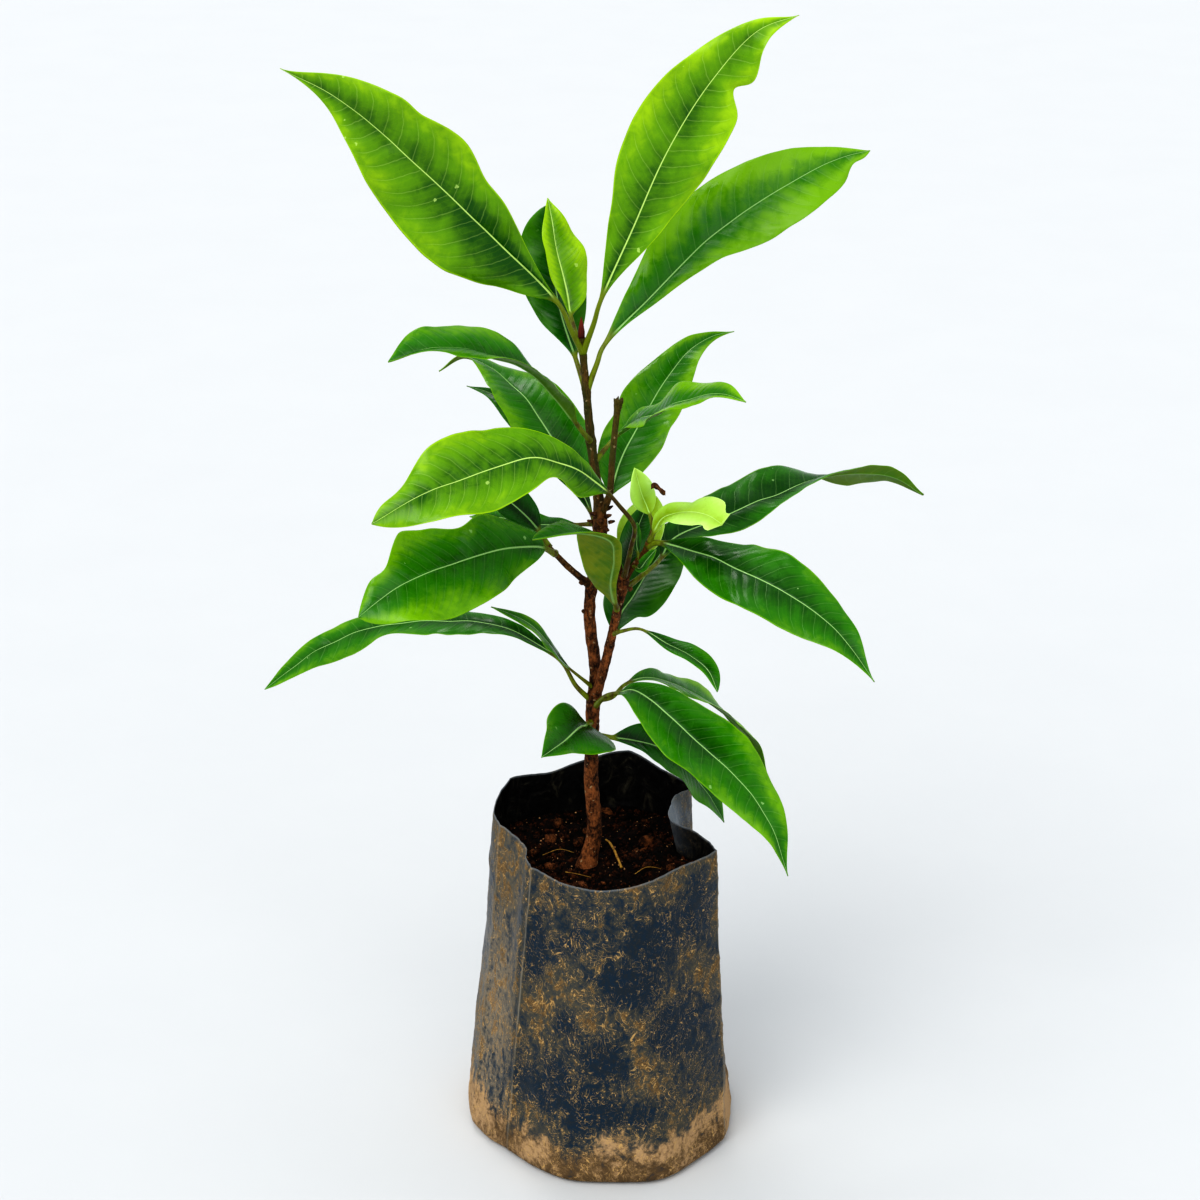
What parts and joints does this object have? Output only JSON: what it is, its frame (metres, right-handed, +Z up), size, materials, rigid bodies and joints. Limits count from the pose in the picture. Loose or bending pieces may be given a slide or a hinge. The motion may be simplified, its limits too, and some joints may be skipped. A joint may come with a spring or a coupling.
{
  "type": "potted clove tree",
  "caption": "Young clove tree with large glossy leaves on a forked woody stem, standing in a mud-smeared black film nursery bag filled with soil.",
  "frame": {"origin": "middle of the bag's flat underside", "axes": "+Z up along the plant, -Y towards the bag's front, +X to the right seen from the front"},
  "size_m": [0.2308, 0.1369, 0.4045],
  "materials": {
    "bag_film": "thin black polythene film, semi-gloss, creased and smeared with dried mud",
    "soil": "moist dark brown potting soil, coarse and matt",
    "bark": "rough red-brown bark",
    "young_bark": "smooth reddish olive young bark",
    "lime_leaf": "glossy bright yellow-green leaf",
    "green_leaf": "glossy mid green leaf",
    "dark_leaf": "glossy dark green leaf",
    "pale_leaf": "soft pale green young leaf"
  },
  "bodies": {
    "root": {"nursery_bag": "bag_film", "soil": "soil", "main_stem": "bark", "second_stem": "bark", "left_twig": "bark", "broken_twig": "bark", "young_shoot": "young_bark", "dead_snag": "bark", "terminal_bud": "young_bark", "leaf_top_left": "lime_leaf", "leaf_top_young": "lime_leaf", "leaf_top_back": "dark_leaf", "leaf_top_middle": "lime_leaf", "leaf_top_right": "green_leaf", "leaf_left_arched": "green_leaf", "leaf_left_folded": "green_leaf", "leaf_left_slim": "dark_leaf", "leaf_left_bright": "lime_leaf", "leaf_left_dark": "dark_leaf", "leaf_left_large": "green_leaf", "leaf_front_curled": "green_leaf", "leaf_left_inner": "green_leaf", "leaf_low_left_twisted": "green_leaf", "leaf_low_left_small": "green_leaf", "leaf_low_front": "green_leaf", "leaf_right_back": "green_leaf", "leaf_right_arched": "green_leaf", "leaf_right_twisted": "green_leaf", "leaf_right_large": "green_leaf", "leaf_young_left": "pale_leaf", "leaf_young_right": "pale_leaf", "leaf_middle_back": "dark_leaf", "leaf_middle_dark": "dark_leaf", "leaf_middle_pale": "pale_leaf", "leaf_shoot_narrow": "green_leaf", "leaf_shoot_small": "green_leaf", "leaf_right_drooping": "green_leaf", "leaf_low_right_arched": "green_leaf", "leaf_low_right_large": "green_leaf", "leaf_low_right_dark": "dark_leaf"}
  },
  "joints": []
}
